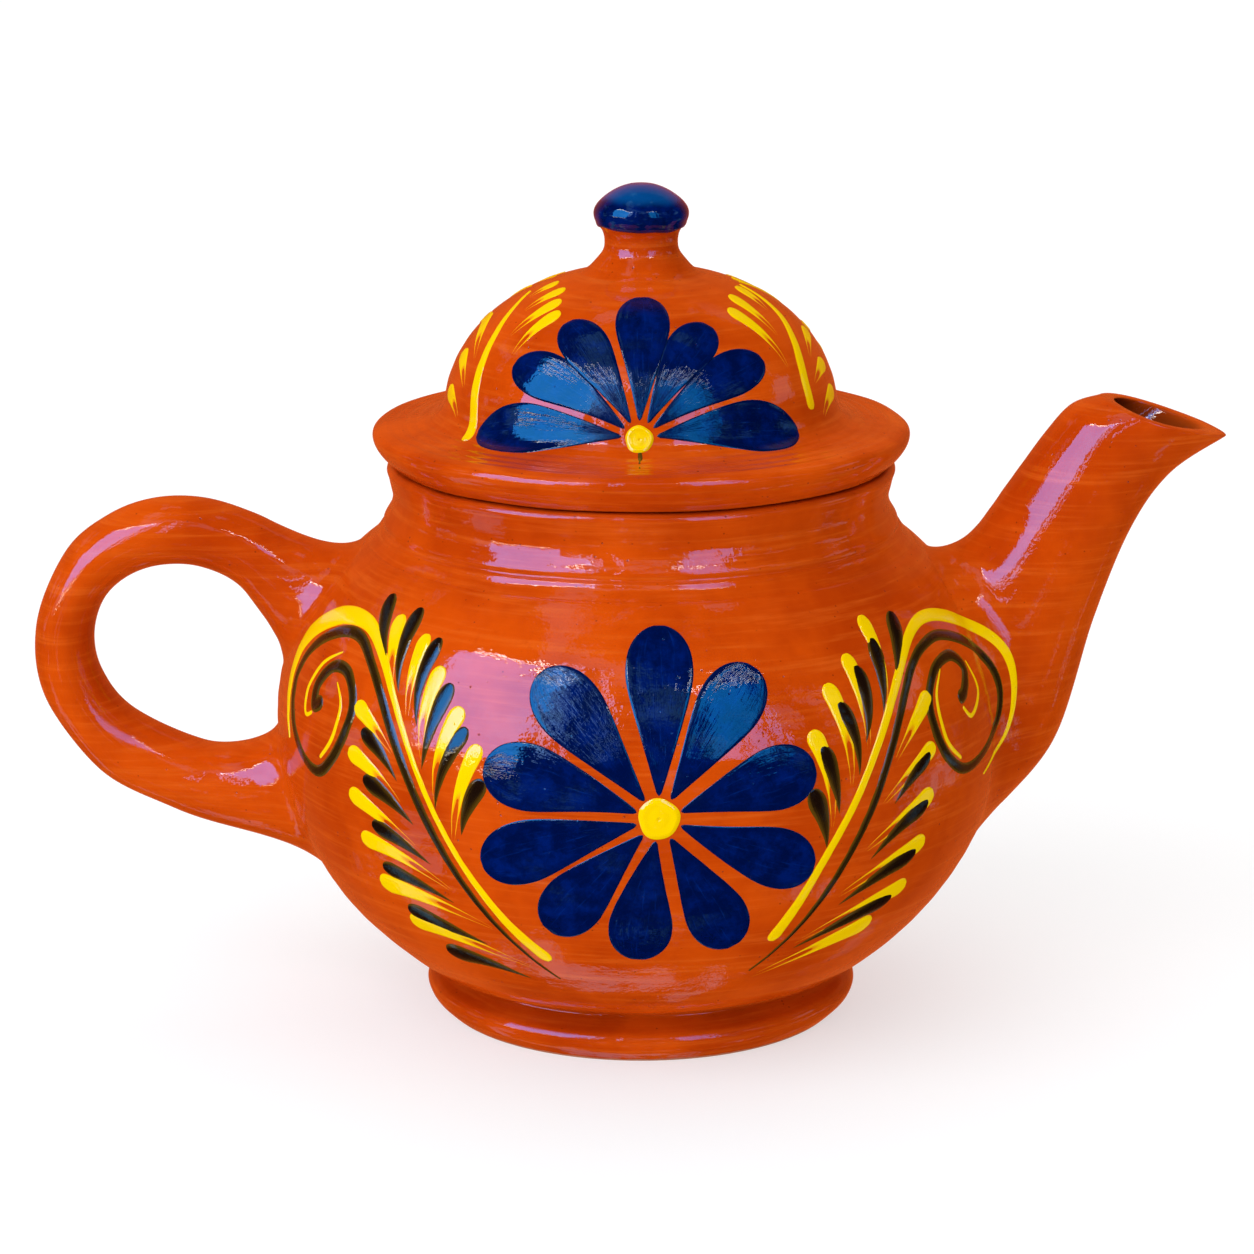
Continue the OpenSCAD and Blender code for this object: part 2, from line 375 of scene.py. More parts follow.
def makePotBody():
    low, high = footZ + 1.5, shoulderZ
    fall = math.asin((belly["greatestZ"] - low) / belly["lowHalf"])
    rise = math.asin((high - belly["greatestZ"]) / belly["highHalf"])
    turn = np.linspace(-fall, rise, belly["rows"])
    z = belly["greatestZ"] + np.sin(turn) * np.where(turn < 0, belly["lowHalf"], belly["highHalf"])
    outside = np.stack([bellyRadius(z), z], 1)
    insideZ = np.linspace(high, footZ + belly["floor"] + 3, belly["innerRows"])
    inside = np.stack([bellyRadius(insideZ, belly["wall"]), insideZ], 1)
    corner = curveThrough([inside[-2], inside[-1], (inside[-1][0] - 4.5, footZ + belly["floor"] + 0.6),
                           (inside[-1][0] - 10, footZ + belly["floor"])], 13)[5:]
    outline = np.vstack([[(0, footZ), (footR - 4.5, footZ)], outside, inside, corner,
                         [(20, footZ + belly["floor"]), (0, footZ + belly["floor"])]])
    return turnedPiece("pot_body_shell", outline, "pot", belly["segments"])


def cutStrainers(pot):
    # small round holes through the wall behind the spout, cut by a ring of pins
    work = bmesh.new()
    for k in range(belly["strainers"] + 1):
        turn = math.tau * k / belly["strainers"]
        off = belly["strainerCircleR"] if k < belly["strainers"] else 0
        place = (bellyR * mm, off * math.cos(turn) * mm, (belly["strainerZ"] + off * math.sin(turn)) * mm)
        matrix = Matrix.Translation(place) @ Matrix.Rotation(math.pi / 2, 4, "Y")
        r = belly["strainerD"] / 2 * mm
        bmesh.ops.create_cone(work, cap_ends=True, segments=belly["pinSides"], radius1=r, radius2=r,
                              depth=belly["pinLength"] * mm, matrix=matrix)
    pins = bpy.data.objects.new("pins", bpy.data.meshes.new("pins"))
    work.to_mesh(pins.data)
    work.free()
    bpy.context.scene.collection.objects.link(pins)
    cut = pot.modifiers.new("cut", "BOOLEAN")
    cut.operation = "DIFFERENCE"
    cut.object = pins
    solid = bpy.data.meshes.new_from_object(pot.evaluated_get(bpy.context.evaluated_depsgraph_get()))
    pot.modifiers.clear()
    pot.data = solid
    solid.shade_smooth()
    solid.set_sharp_from_angle(angle=math.radians(40))
    bpy.data.objects.remove(pins)


neck = {"bore": 49.5, "wall": 5, "segments": 320,
        "steps": [(0, 0), (1.7, 1.8), (2.5, 3), (3.2, 3.6), (3.3, 5), (4.3, 6.7)]}


def makeNeck():
    base = bellyRadius(shoulderZ)
    under = shoulderZ - 2.5
    steps = [(base - narrower, shoulderZ + higher) for narrower, higher in neck["steps"]]
    lip = stepsFrom([(-1, -9), (-1.3, -6.5), (-0.5, -3), (-0.05, -1.3), (-0.8, -0.25), (-2, 0)],
                    neck["bore"] + neck["wall"], rimZ)
    profile = np.vstack([[(bellyRadius(under), under)], steps, lip])
    smooth = curveThrough(profile, (len(profile) - 1) * 7 + 1)[7:]
    rest = curveThrough(stepsFrom([(1.6, 0), (0.35, -0.35), (0, -1.4), (0, -5)], neck["bore"], rimZ), 16)
    outline = np.vstack([[(neck["bore"], shoulderZ)], smooth, rest])
    return turnedPiece("neck_collar_wall", outline, "pot", neck["segments"])


foot = {"recessR": 34, "segments": 288}


def makeFoot():
    profile = stepsFrom([(-3.5, 0), (-2.2, 1.2), (-0.6, 3), (0, 5.0), (-0.9, 6.6), (-3.2, 7.7), (-4.8, 9),
                         (-5, 10), (-4.5, footZ)], footR)
    outside = curveThrough(profile, (len(profile) - 1) * 6 + 1)
    hollow = stepsFrom([(-1, footZ), (-0.6, 6), (0, 3), (1, 0.9), (3, 0)], foot["recessR"])
    inside = curveThrough(hollow, 25)
    outline = np.vstack([outside, inside])
    return turnedPiece("foot_ring_base", outline, "pot", foot["segments"])


def sections(stations, columns, halfWidth, pinch=0.0, inset=0.0, lip=0.0):
    # rows of closed sections: an ellipse in x and z from a station's first edge to its second one,
    # with y = half width * sin t * (1 - pinch * ((1 + cos t) / 2)^2)
    turn = np.linspace(0, math.tau, columns, endpoint=False)[None, :]
    first, second = stations[:, 0:2], stations[:, 2:4]
    across = unit(second - first)
    low = first + across * inset
    high = second - across * (inset + np.reshape(lip, (-1, 1)))
    middle, reach = (low + high) / 2, (high - low) / 2
    flat = middle[:, None] + reach[:, None] * np.cos(turn)[..., None]
    width = np.reshape(halfWidth, (-1, 1)) - inset
    side = width * np.sin(turn) * (1 - np.reshape(pinch, (-1, 1)) * ((1 + np.cos(turn)) / 2) ** 2)
    return np.stack([bellyR + flat[..., 0], side, belly["greatestZ"] + flat[..., 1]], -1)


def potNormal(points):
    # the belly's normal, turning to the neck's above the shoulder
    r = np.hypot(points[..., 0], points[..., 1])
    outline = potOutline()
    slope = np.gradient(outline[:, 0], outline[:, 1])
    rise = -np.interp(points[..., 2], outline[:, 1], slope) * r
    return unit(np.stack([points[..., 0], points[..., 1], rise], -1))


def potOutline():
    # radius and height of the belly and, above the shoulder, of the neck
    z = np.linspace(footZ + 2, shoulderZ + 7, 240)
    steps = np.array(neck["steps"])
    narrower = np.interp(z - shoulderZ, steps[:, 1], steps[:, 0])
    return np.stack([bellyRadius(np.minimum(z, shoulderZ)) - narrower, z], 1)


def ontoPot(ring, sunk=0.1):
    # the same points moved along x to just under the pot's surface
    outline = potOutline()
    radius = np.interp(ring[..., 2], outline[:, 1], outline[:, 0])
    x = np.sqrt(np.maximum(0, radius ** 2 - ring[..., 1] ** 2))
    moved = np.stack([x, ring[..., 1], ring[..., 2]], -1)
    return moved - sunk * potNormal(moved)


def widened(ring, up, down, aside):
    # a root's outline grown by lengths upwards, downwards and to the sides
    middle = ring.mean(0)
    reach = ring - middle
    share = reach / np.abs(reach).max(0)
    grown = ring + share * np.array([0, aside, 0])
    grown[..., 2] += np.where(share[..., 2] > 0, up, down) * share[..., 2]
    return grown


def flare(root, start, direction, rows):
    # a cubic (Hermite) from each root point, leaving along the pot's surface, to the matching
    # point of the tube's first section, arriving along the tube
    span = start - root
    normal = potNormal(root)
    along = unit(span - np.sum(span * normal, -1, keepdims=True) * normal)
    size = np.linalg.norm(span, axis=-1, keepdims=True)
    leave, arrive = along * size, unit(direction) * size
    t = np.linspace(0, 1, rows, endpoint=False)[:, None, None]
    return ((2 * t**3 - 3 * t**2 + 1) * root + (t**3 - 2 * t**2 + t) * leave
            + (3 * t**2 - 2 * t**3) * start + (t**3 - t**2) * arrive)


spout = {"stations": [(-18, 36, -7, -28, 24, 0), (-13, 35.5, 2.5, -20, 19.5, 0), (-7, 39.5, 12, -5, 16.5, 0),
                      (1, 51, 19, 20, 14.5, 0), (8, 61, 26.5, 40, 13.5, 0), (13.5, 67, 35, 52.5, 13.8, 0.25),
                      (19.5, 69, 46.8, 60.5, 14.5, 0.5)],
         "wall": 3.4, "lip": 2.0, "columns": 112, "perStation": 14, "flareRows": 30, "innerFlareRows": 10,
         "tubeStart": 1.9, "rimRows": 14, "rimRise": 0.5, "rimThick": 2.2, "rimPower": 0.75, "rimDrop": 0.8,
         "shadeRows": 12, "rootGrowth": (0.5, 4.0, 2.5)}


def makeSpout():
    given = np.array(spout["stations"], float)
    count = (len(given) - 1) * spout["perStation"] + 1
    fine = curveThrough(given, count)
    first = round(spout["tubeStart"] * spout["perStation"])
    columns = spout["columns"]
    outer = sections(fine, columns, fine[:, 4], fine[:, 5])
    inner = sections(fine, columns, fine[:, 4], fine[:, 5], spout["wall"], 2 * spout["lip"] * fine[:, 5])
    outerRoot = ontoPot(widened(outer[0], *spout["rootGrowth"]))
    innerRoot = ontoPot(inner[0])
    outerFlare = flare(outerRoot, outer[first], outer[first + 1] - outer[first - 1], spout["flareRows"])
    innerFlare = flare(innerRoot, inner[first], inner[first + 1] - inner[first - 1], spout["innerFlareRows"])
    bulge = unit(outer[-1].mean(0) - outer[-3].mean(0))
    turn = np.linspace(0, math.pi, spout["rimRows"] + 2)[1:-1, None, None]
    middle, half = (outer[-1] + inner[-1]) / 2, (outer[-1] - inner[-1]) / 2
    thick = np.linalg.norm(half, axis=-1, keepdims=True)
    power = spout["rimPower"]
    rim = (middle + half * np.sign(np.cos(turn)) * np.abs(np.cos(turn)) ** power
           + bulge * np.minimum(thick, spout["rimThick"]) * spout["rimRise"] * np.sin(turn) ** power)
    drop = bulge * spout["rimDrop"]
    rows = np.concatenate([outerFlare, outer[first:] - drop * fade(outer[first:]), rim - drop,
                           (inner[first:] - drop * fade(inner[first:]))[::-1], innerFlare[::-1]])
    rowsOut = spout["flareRows"] + len(outer) - first + spout["rimRows"] // 2
    # painted shade: the mark "inside" is 0 at the mouth and rises to 1 over the rows past the rim, down into
    # the bore
    inside = smoothStep(0, spout["shadeRows"], np.arange(len(rows)) - rowsOut)[:, None] + 0 * rows[..., 0]
    points = softened(rows.reshape(-1, 3))
    faces = outward(points, gridFaces(len(rows), columns, True, True))
    return addMesh("spout_tube", points, faces, "pot", terracotta,
                   marks={"inside": inside}, sharp=60)


def fade(rows):
    # 0 at the first row and 1 at the last one
    return np.linspace(0, 1, len(rows))[:, None, None] ** 2


handle = {"stations": [(-17, 36.5, 0, 13, 1.5), (-7, 37.5, 1.5, 17.5, 1.25), (4, 43, 7.5, 27, 1.05),
                       (15, 46.4, 16, 31.6, 1), (26, 46.4, 24.7, 32, 1), (36, 42.7, 32, 29.3, 1),
                       (45.4, 34.6, 37.3, 24, 1), (52.2, 18.6, 39.7, 16, 1), (50.6, 2.3, 38.2, 7.8, 1),
                       (39, -14, 32.3, -0.4, 1), (23, -22.7, 19, -7, 1.05), (8.5, -27.8, 9, -8.9, 1.25),
                       (-5.5, -34, 0.2, -5, 1.5)],
          "halfWidth": 9, "columns": 84, "perStation": 13, "flareRows": 30, "tubeStart": 1.8,
          "topGrowth": (1.6, 4.0, 3.0), "bottomGrowth": (3.0, 5.0, 3.0)}


def makeHandle():
    given = np.array(handle["stations"], float)
    fine = curveThrough(given, (len(given) - 1) * handle["perStation"] + 1)
    tube = sections(fine, handle["columns"], handle["halfWidth"] * fine[:, 4])
    first = round(handle["tubeStart"] * handle["perStation"])
    last = len(fine) - 1 - first
    topRoot = ontoPot(widened(tube[0], *handle["topGrowth"]))
    bottomRoot = ontoPot(widened(tube[-1], *handle["bottomGrowth"]))
    top = flare(topRoot, tube[first], tube[first + 1] - tube[first - 1], handle["flareRows"])
    bottom = flare(bottomRoot, tube[last], tube[last - 1] - tube[last + 1], handle["flareRows"])
    rows = np.concatenate([top, tube[first:last + 1], bottom[::-1]])
    caps = [ontoPot(rows[k].mean(0), 1.2) + 0 * rows[k] for k in (0, -1)]
    rows = np.concatenate([caps[0][None], rows, caps[1][None]])
    rows[..., 0] *= -1
    points = softened(rows.reshape(-1, 3))
    faces = outward(points, gridFaces(len(rows), handle["columns"], False, True))
    return addMesh("handle_loop", points, faces, "pot", terracotta, sharp=60)


dome = {"r": 42.2, "height": 33, "power": 2.15, "aboveSeat": 8.75, "wall": 5, "ringWall": 4.5,
        "ringDepth": 10, "rows": 60, "innerRows": 26, "segments": 320, "ridge": 0.08, "ridgeWave": 2.7}
domeZ = seatZ + dome["aboveSeat"]


def domeRadius(h, inset=0.0):
    # superellipse: (r / R)^p + (h / H)^p = 1
    share = np.clip(h / (dome["height"] - inset), 0, 1) ** dome["power"]
    return (dome["r"] - inset) * (1 - share) ** (1 / dome["power"])


def makeLidDome():
    edge = stepsFrom([(-3.4, 1), (-1.7, 2.6), (-0.4, 4.6), (0, 6.2), (-0.6, 7.4), (-2.4, 8.1), (-8, 8.7),
                      (-12, 9.6)], brimR, seatZ)
    profile = np.vstack([[(ringR, seatZ), (ringR + 4.5, seatZ)], edge, [(dome["r"] + 1, seatZ + 11.2)],
                         [(domeRadius(h), domeZ + h) for h in (5.0, 9.0)]])
    brim = curveThrough(profile, (len(profile) - 1) * 10 + 1)[:-10]
    r = brim[:, 0]
    onTop = smoothStep(dome["r"] + 0.5, dome["r"] + 3, r) * (1 - smoothStep(brimR - 3, brimR - 1, r))
    onTop = onTop * (brim[:, 1] > seatZ + 6)
    brim[:, 1] += dome["ridge"] * np.sin(math.tau * r / dome["ridgeWave"]) * onTop
    turn = np.linspace(math.asin(5 / dome["height"]), math.asin(0.992), dome["rows"])[1:]
    h = dome["height"] * np.sin(turn)
    outside = np.stack([domeRadius(h), domeZ + h], 1)
    top = outside[-1]
    inTop = dome["height"] - dome["wall"]
    hIn = inTop * np.sin(np.linspace(math.pi / 2, 0, dome["innerRows"]))
    inside = np.stack([domeRadius(hIn, dome["wall"]), domeZ + hIn], 1)
    inside = np.vstack([inside, curveThrough([inside[-1], (ringR - dome["ringWall"] - 2.5, seatZ + 4),
                                              (ringR - dome["ringWall"], seatZ)], 9)[1:]])
    outline = np.vstack([brim, outside, [(0, top[1])], inside])
    return turnedPiece("lid_dome_shell", outline, "lid", dome["segments"])


def makeLocatingRing():
    inner = ringR - dome["ringWall"]
    bottom = seatZ - dome["ringDepth"]
    profile = np.vstack([[(ringR, seatZ), (ringR, seatZ - 3)],
                         stepsFrom([(-0.1, 2.6), (-0.7, 0.7), (-2.2, 0)], ringR, bottom),
                         stepsFrom([(1.6, 0.1), (0.3, 1.2), (0, 3)], inner, bottom), [(inner, seatZ)]])
    outline = curveThrough(profile, (len(profile) - 1) * 5 + 1)
    return turnedPiece("lid_locating_ring_wall", outline, "lid", 240)


knob = {"r": 9.85, "segments": 160}


def makeKnob():
    root = stepsFrom([(15.0, -1.0), (13.2, -0.45), (11.3, 0.75), (9.8, 2.3)], 0, knobZ)
    ball = stepsFrom([(-1.75, 4.5), (-2.1, 6.6), (-1.75, 8.6), (-0.7, 10.3), (-0.03, 12.2), (-0.45, 14),
                      (-2.1, 15.9), (-4.5, 17.5), (-7.2, 18.5)], knob["r"], knobZ)
    profile = np.vstack([root, ball, [(0, knobZ + 18.75)]])
    outline = curveThrough(profile, (len(profile) - 1) * 8 + 1)
    closed = np.vstack([[(0, knobZ - 1.4)], outline])
    return turnedPiece("lid_knob_stem", closed, "lid", knob["segments"]), outline


cap = {"edge": 9.5, "wave": 0.22, "thick": 0.2, "pool": 0.12, "under": 0.4, "rows": 60}


def makeKnobGlaze(outline):
    # the cobalt glaze over the knob: a skin from a wavy edge to the top, and its underside in the clay
    line, length = alongPath(outline, np.linspace(0, 1, 600))
    steps = np.linspace(0, length, 600)
    normal = unit(np.gradient(line, axis=0))[:, ::-1] * np.array([1, -1])
    angle = np.linspace(0, math.tau, knob["segments"], endpoint=False)[None, :]
    wave = np.sin(2 * angle + 0.4) + 0.6 * np.sin(5 * angle + 2) + 0.35 * np.sin(9 * angle)
    start = np.interp(knobZ + cap["edge"], line[:, 1], steps) + cap["wave"] * wave
    share = np.linspace(0, 1, cap["rows"])[:, None] ** 1.3
    at = start + (length - start) * share
    edge = at - start
    # the skin thins towards the top. Through the mark "thick" this also turns the top lighter blue: partly
    # real thin glaze, partly painted light standing in for the light from above
    rise = (cap["thick"] * (1 - 0.85 * smoothStep(2, 9, edge))
            + cap["pool"] * np.exp(-((edge - 0.8) / 0.6) ** 2))
    rise = rise * smoothStep(-0.05, 0.5, edge)
    rows = []
    for height in (rise - paint["sunk"] * (edge == 0), 0 * rise[::-1] - cap["under"]):
        place = at if len(rows) == 0 else at[::-1]
        r, z = (np.interp(place, steps, line[:, k]) + height * np.interp(place, steps, normal[:, k])
                for k in (0, 1))
        r = np.maximum(r, 0)
        rows.append(np.stack([r * np.cos(angle), r * np.sin(angle), z], -1))
    points = softened(np.concatenate(rows).reshape(-1, 3))
    faces = outward(points, gridFaces(2 * cap["rows"], knob["segments"], True, True))
    edges = np.concatenate([edge, edge[::-1]])
    uv = np.stack([edges / 10, 0.2 * np.sin(angle) + 0 * edges], -1)
    thick = np.concatenate([rise, 0 * rise])
    addMesh("knob_glaze_cap", points, faces, "lid", cobaltPaint, uv=uv.reshape(-1, 2),
            marks={"edge": edges, "thick": thick}, sharp=60)


potBody = makePotBody()
cutStrainers(potBody)
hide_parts("pot_body")
neckCollar = makeNeck()
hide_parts("neck_collar")
footRing = makeFoot()
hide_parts("foot_ring")
spoutTube = makeSpout()
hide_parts("spout")
handleLoop = makeHandle()
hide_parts("handle")
lidDome = makeLidDome()
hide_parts("lid_dome")
locatingRing = makeLocatingRing()
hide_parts("lid_locating_ring")
lidKnob, knobOutline = makeKnob()
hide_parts("lid_knob")
print("clay pieces made")


def endWeighted(count):
    # 0 to 1 with small steps near both ends: p - 0.9 sin(2 pi p) / (2 pi)
    p = np.linspace(0, 1, count)
    return p - 0.9 * np.sin(math.tau * p) / math.tau


def alongPath(path, places):
    # points of a path at the given shares of its length, and the length
    steps = np.concatenate([[0], np.cumsum(np.linalg.norm(np.diff(path, axis=0), axis=1))])
    at = places * steps[-1]
    return np.stack([np.interp(at, steps, path[:, k]) for k in range(path.shape[1])], 1), steps[-1]


def blurred(values, width):
    # a Gaussian blur along both axes, width grid steps wide
    reach = int(3 * width)
    for axis in (0, 1):
        padded = np.pad(values, [(reach, reach) if k == axis else (0, 0) for k in (0, 1)], mode="edge")
        total = np.zeros_like(values)
        weights = np.exp(-0.5 * (np.arange(-reach, reach + 1) / width) ** 2)
        for k, weight in enumerate(weights / weights.sum()):
            part = [slice(None), slice(None)]
            part[axis] = slice(k, k + values.shape[axis])
            total += weight * padded[tuple(part)]
        values = total
    return values


class Stencil:
    # a flat sheet that faces the pot from one side. A place (u, v) on it, in millimetres, is
    # carried straight onto the clay behind it; the clay's depth is read once, on a grid.
    step = 0.5
    away = 200.0

    def __init__(self, turn, tilt, height, clay, flip=False, reach=56):
        a, e = math.radians(turn), math.radians(tilt)
        self.out = np.array([math.sin(a) * math.cos(e), -math.cos(a) * math.cos(e), math.sin(e)])
        self.right = np.array([math.cos(a), math.sin(a), 0])
        self.up = np.cross(self.out, self.right)
        self.centre = np.array([0, 0, height])
        self.flip = -1 if flip else 1
        self.reach = reach
        side = np.arange(-reach, reach + self.step, self.step)
        self.count = len(side)
        v, u = np.meshgrid(side, side, indexing="ij")
        sheet = self.centre + self.away * self.out + u[..., None] * self.right + v[..., None] * self.up
        mesh = bpy.data.meshes.new("sheet")
        local = np.stack([u.ravel(), v.ravel(), np.full(u.size, self.away)], 1) * mm
        mesh.from_pydata(local.tolist(), [], gridFaces(self.count, self.count, False, False).tolist())
        sheetObject = bpy.data.objects.new("sheet", mesh)
        sheetObject.matrix_world = Matrix([[*row, c * mm] for row, c in zip(
            np.stack([self.right, self.up, self.out], 1).tolist(), self.centre)] + [[0, 0, 0, 1]])
        bpy.context.scene.collection.objects.link(sheetObject)
        wrap = sheetObject.modifiers.new("wrap", "SHRINKWRAP")
        wrap.wrap_method = "PROJECT"
        wrap.use_project_z = True
        wrap.use_negative_direction = True
        wrap.use_positive_direction = False
        wrap.target = clay
        bpy.context.view_layer.update()
        found = sheetObject.evaluated_get(bpy.context.evaluated_depsgraph_get()).to_mesh()
        places = np.empty(len(found.vertices) * 3, np.float32)
        found.vertices.foreach_get("co", places)
        bpy.data.objects.remove(sheetObject)
        depth = places.reshape(-1, 3)[:, 2].astype(float).reshape(v.shape) / mm
        missed = depth > self.away - 1
        depth[missed] = depth[~missed].min()
        once = blurred(depth, 1.8)
        smooth = 2 * once - blurred(once, 1.8)
        self.surface = (self.centre + u[..., None] * self.right + v[..., None] * self.up
                        + smooth[..., None] * self.out)
        across = np.gradient(self.surface, axis=1)
        along = np.gradient(self.surface, axis=0)
        self.normal = unit(np.cross(across, along))

    def drape(self, places, height):
        # the clay's point behind each place, raised by height along the clay's own normal
        at = (places * np.array([self.flip, 1]) + self.reach) / self.step
        low = np.clip(np.floor(at).astype(int), 0, self.count - 2)
        share = np.clip(at - low, 0, 1)
        result = []
        for field in (self.surface, self.normal):
            total = 0
            for i in (0, 1):
                for k in (0, 1):
                    weight = ((share[..., 1] if i else 1 - share[..., 1])
                              * (share[..., 0] if k else 1 - share[..., 0]))
                    total = total + weight[..., None] * field[low[..., 1] + i, low[..., 0] + k]
            result.append(total)
        return result[0] + unit(result[1]) * np.asarray(height)[..., None]


paint = {"sunk": 0.03, "under": 0.4, "bottomColumns": 3}


def strokeMesh(stencil, path, halfWidth, heightOf, rows, columns):
    # A stroke is path + side * s * halfWidth with s from -1 to 1 across it. Its top is raised by
    # heightOf(s, share, edge), where edge is the distance to the outline; its underside lies in the clay.
    share = endWeighted(rows)
    line, length = alongPath(path, share)
    run = unit(np.gradient(line, axis=0))
    side = np.stack([-run[:, 1], run[:, 0]], 1)
    width = halfWidth(share, length)
    width[[0, -1]] = 0
    top = np.sin(np.linspace(-math.pi / 2, math.pi / 2, columns))
    s = np.concatenate([top, np.linspace(1, -1, paint["bottomColumns"] + 2)[1:-1]])
    places = line[:, None] + side[:, None] * (s[None, :] * width[:, None])[..., None]
    toEnd = np.minimum(share, 1 - share)[:, None] * length
    edge = np.minimum((1 - np.abs(s))[None, :] * width[:, None], toEnd + 0 * s)
    height = heightOf(s[None, :] + 0 * edge, share[:, None] + 0 * edge, edge)
    height = height * smoothStep(-0.02, 0.25, edge) - paint["sunk"] * (1 - smoothStep(0, 0.1, edge))
    height[:, columns:] = -paint["under"]
    height[[0, -1]] = -paint["under"]
    points = stencil.drape(places, height)
    uv = np.stack(np.broadcast_arrays(share[:, None] * length / 10, s[None, :]), -1)
    faces = gridFaces(rows, columns + paint["bottomColumns"], False, True)
    if stencil.flip > 0:
        faces = faces[:, ::-1]
    flat = points.reshape(-1, 3)
    return {"points": flat, "faces": faces, "uv": uv.reshape(-1, 2), "edge": edge.ravel(),
            "thick": np.maximum(height, 0).ravel()}


def joined(parts, name, body, look):
    offsets = np.cumsum([0] + [len(part["points"]) for part in parts[:-1]])
    faces = np.vstack([part["faces"] + offset for part, offset in zip(parts, offsets)])
    whole = {key: np.concatenate([part[key] for part in parts]) for key in ("points", "uv", "edge", "thick")}
    return addMesh(name, whole["points"], faces, body, look, uv=whole["uv"],
                   marks={"edge": whole["edge"], "thick": whole["thick"]}, sharp=50)


def roundEnds(share, length, width):
    # narrows a width to nothing at both ends as a half circle does
    near = np.minimum(share, 1 - share) * length / np.maximum(width, 1e-6)
    return width * np.sqrt(1 - (1 - np.clip(near, 0, 1)) ** 2)


petal = {"rows": 50, "columns": 19, "thick": 0.13, "rim": 0.05, "neck": 0.06, "widest": 0.72}


def petalStroke(stencil, values, angle, length, width, bend=0.0):
    # starts by the flower's dot, widens evenly and is round at the tip
    a = math.radians(angle)
    out = np.array([math.cos(a), math.sin(a)])
    side = np.array([-out[1], out[0]])
    t = np.linspace(0, 1, 40)[:, None]
    path = (np.array(values["centre"]) + out * (values["start"] + (length - values["start"]) * t)
            + side * bend * t * (1 - t) * 4)

    def halfWidth(share, long):
        x = np.clip(share / petal["widest"], 0, 1)
        grown = petal["neck"] + (1 - petal["neck"]) * x * (1.125 - 0.125 * x ** 8)
        tip = np.clip((share - petal["widest"]) / (1 - petal["widest"]), 0, 1)
        start = np.sqrt(np.clip(share / 0.02, 0, 1))
        return width / 2 * grown * np.sqrt(1 - tip ** 2.3) * start

    def heightOf(s, share, edge):
        return petal["thick"] + petal["rim"] * np.exp(-((edge - 0.9) / 0.5) ** 2)

    return strokeMesh(stencil, path, halfWidth, heightOf, petal["rows"], petal["columns"])


leaf = {"rows": 32, "columns": 11, "yellowThick": 0.22, "brownThick": 0.2, "bend": 0.05, "longer": 0.05}


def leafStroke(stencil, head, tail, width, isYellow, bend):
    # a comma of the brush: a round head that thins to a tail. The yellow slip is thick, so its tail
    # parts into two lines with the clay between them.
    head, tail = np.array(head, float), np.array(tail, float)
    span = tail - head
    side = np.array([-span[1], span[0]])
    t = np.linspace(0, 1, 30)[:, None]
    path = head + span * t + side * bend * 4 * t * (1 - t)

    def halfWidth(share, length):
        body = (1 - share) ** (0.75 if isYellow else 0.85) * 0.9 + 0.1 * (1 - share)
        headRun = np.clip(share * length / (width * (0.6 if isYellow else 0.9)), 0, 1)
        return width / 2 * body * np.sqrt(1 - (1 - headRun) ** 2)

    def yellowHeight(s, share, edge):
        crown = leaf["yellowThick"] * (1 - 0.45 * share) * (1 - s ** 8)
        parting = smoothStep(0.2, 0.75, share) * 1.25 * leaf["yellowThick"] * (1 - s ** 2) ** 1.5
        return crown - parting

    def brownHeight(s, share, edge):
        return 0.06 + leaf["brownThick"] * (1 - s ** 2) ** 0.7 * (1 - 0.5 * share)

    height = yellowHeight if isYellow else brownHeight
    return strokeMesh(stencil, path, halfWidth, height, leaf["rows"], leaf["columns"])


def leafRow(stencil, draw, heads, tails, count, width, isYellow, lean=1.0):
    # leaves spread evenly between a curve of heads and a curve of tails, each a little different
    headLine = alongPath(curveThrough(heads, 60), np.linspace(0, 1, count))[0]
    tailLine = alongPath(curveThrough(tails, 60), np.linspace(0, 1, count))[0]
    made = []
    for head, tail in zip(headLine, tailLine):
        head = head + draw.normal(0, 0.35, 2)
        tail = tail + draw.normal(0, 0.5, 2)
        head = head + (head - tail) * leaf["longer"]
        wide = width * draw.uniform(0.9, 1.12)
        bend = lean * leaf["bend"] * draw.uniform(0.4, 1.5)
        made.append(leafStroke(stencil, head, tail, wide, isYellow, bend))
    return made


def lineStroke(stencil, points, widths, thick, rows, columns=9):
    # a long line whose width follows the given widths, spread along it
    path = curveThrough(points, 40 * len(points))

    def halfWidth(share, length):
        width = np.interp(share, np.linspace(0, 1, len(widths)), np.array(widths) / 2)
        return roundEnds(share, length, width)

    def heightOf(s, share, edge):
        return thick * (1 - s ** 4)

    return strokeMesh(stencil, path, halfWidth, heightOf, rows, columns)


def dotMesh(stencil, centre, radius, heightOf, rings=26, around=56):
    # a round blob: rings about its centre, over the top and back underneath
    turn = np.linspace(0, math.tau, around, endpoint=False)
    share = np.concatenate([np.linspace(0, 1, rings), [0.5, 0]])
    wobble = 1 + 0.03 * np.sin(3 * turn + 1) + 0.02 * np.sin(5 * turn)
    reach = radius * share[:, None] * wobble[None, :]
    places = np.array(centre) + np.stack([reach * np.cos(turn), reach * np.sin(turn)], -1)
    edge = radius * (1 - share[:, None]) + 0 * reach
    height = heightOf(share[:, None] + 0 * reach)
    height[rings - 1] = -paint["sunk"]
    height[rings:] = -paint["under"]
    points = stencil.drape(places, height).reshape(-1, 3)
    uv = np.stack([reach * np.cos(turn) / 10, reach * np.sin(turn) / radius], -1).reshape(-1, 2)
    faces = gridFaces(len(share), around, False, True)
    if stencil.flip < 0:
        faces = faces[:, ::-1]
    return {"points": points, "faces": faces, "uv": uv, "edge": edge.ravel(),
            "thick": np.maximum(height, 0).ravel()}


